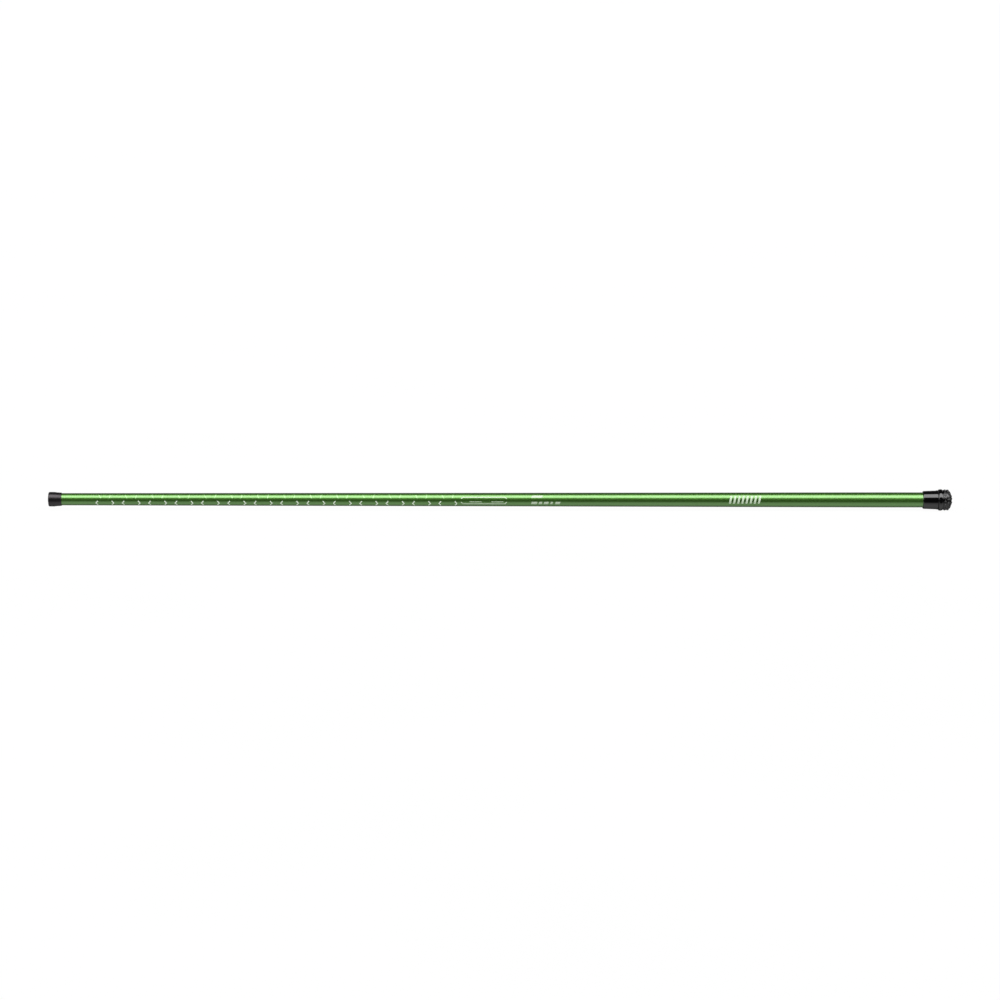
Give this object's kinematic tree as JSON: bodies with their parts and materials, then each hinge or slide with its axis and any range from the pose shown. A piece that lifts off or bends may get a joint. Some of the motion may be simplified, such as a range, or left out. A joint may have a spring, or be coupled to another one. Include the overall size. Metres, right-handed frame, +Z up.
{
  "type": "telescopic fishing pole",
  "caption": "Slim telescopic fishing pole closed for carrying, with nested tapered sections, a push-on tip cap and a studded screw plug in the butt.",
  "frame": {"origin": "centre of the butt's end face, on the pole's axis", "axes": "+X along the pole towards the butt, so the tip points to -X; +Z up"},
  "size_m": [1.14, 0.027, 0.027],
  "materials": {
    "green_lacquer": "metallic green lacquer under clear coat on a fibre tube",
    "print_white": "screen-printed pale marks",
    "graphite": "clear-lacquered graphite composite",
    "winding": "thread winding under lacquer",
    "gloss_black": "polished black",
    "connector_black": "moulded plastic",
    "connector_red": "moulded plastic",
    "cap_rubber": "satin rubber",
    "bumper_rubber": "satin rubber with studs",
    "seal_rubber": "smooth rubber",
    "foam": "closed-cell foam"
  },
  "bodies": {
    "butt": {"butt_section": "green_lacquer", "butt_mouth_winding": "winding", "butt_collar": "gloss_black"},
    "second": {"section_2": "graphite", "section_2_mouth_winding": "winding"},
    "third": {"section_3": "graphite", "section_3_mouth_winding": "winding"},
    "fourth": {"section_4": "graphite", "section_4_mouth_winding": "winding"},
    "tip": {"tip_section": "graphite", "connector_body": "connector_black"},
    "sleeve": {"connector_sleeve": "connector_red"},
    "cap": {"tip_cap": "cap_rubber", "tip_cap_liner": "foam"},
    "buffer": {"buffer_pad": "foam"},
    "plug": {"butt_plug": "gloss_black", "plug_seal": "seal_rubber", "rubber_bumper": "bumper_rubber"}
  },
  "joints": [
    {"name": "second_slide", "type": "slide", "parent": "butt", "child": "second", "axis": [-1, 0, 0], "range_m": [0, 0.9993]},
    {"name": "third_slide", "type": "slide", "parent": "second", "child": "third", "axis": [-1, 0, 0], "range_m": [0, 1.0086]},
    {"name": "fourth_slide", "type": "slide", "parent": "third", "child": "fourth", "axis": [-1, 0, 0], "range_m": [0, 1.018]},
    {"name": "tip_slide", "type": "slide", "parent": "fourth", "child": "tip", "axis": [-1, 0, 0], "range_m": [0, 1.012]},
    {"name": "sleeve_slide", "type": "slide", "parent": "tip", "child": "sleeve", "axis": [1, 0, 0], "range_m": [0, 0.004]},
    {"name": "cap_pull", "type": "slide", "parent": "tip", "child": "cap", "axis": [-1, 0, 0], "range_m": [0, 0.06]},
    {"name": "plug_advance", "type": "slide", "parent": "butt", "child": "buffer", "axis": [1, 0, 0], "range_m": [0, 0.008]},
    {"name": "plug_turn", "type": "hinge", "parent": "buffer", "child": "plug", "pos_m": [0, 0, 0], "axis": [1, 0, 0], "range_deg": [0, 1440]}
  ],
  "couplings": [
    {"joint": "plug_advance", "follows": "plug_turn", "m_per_rad": 0.00031831}
  ]
}
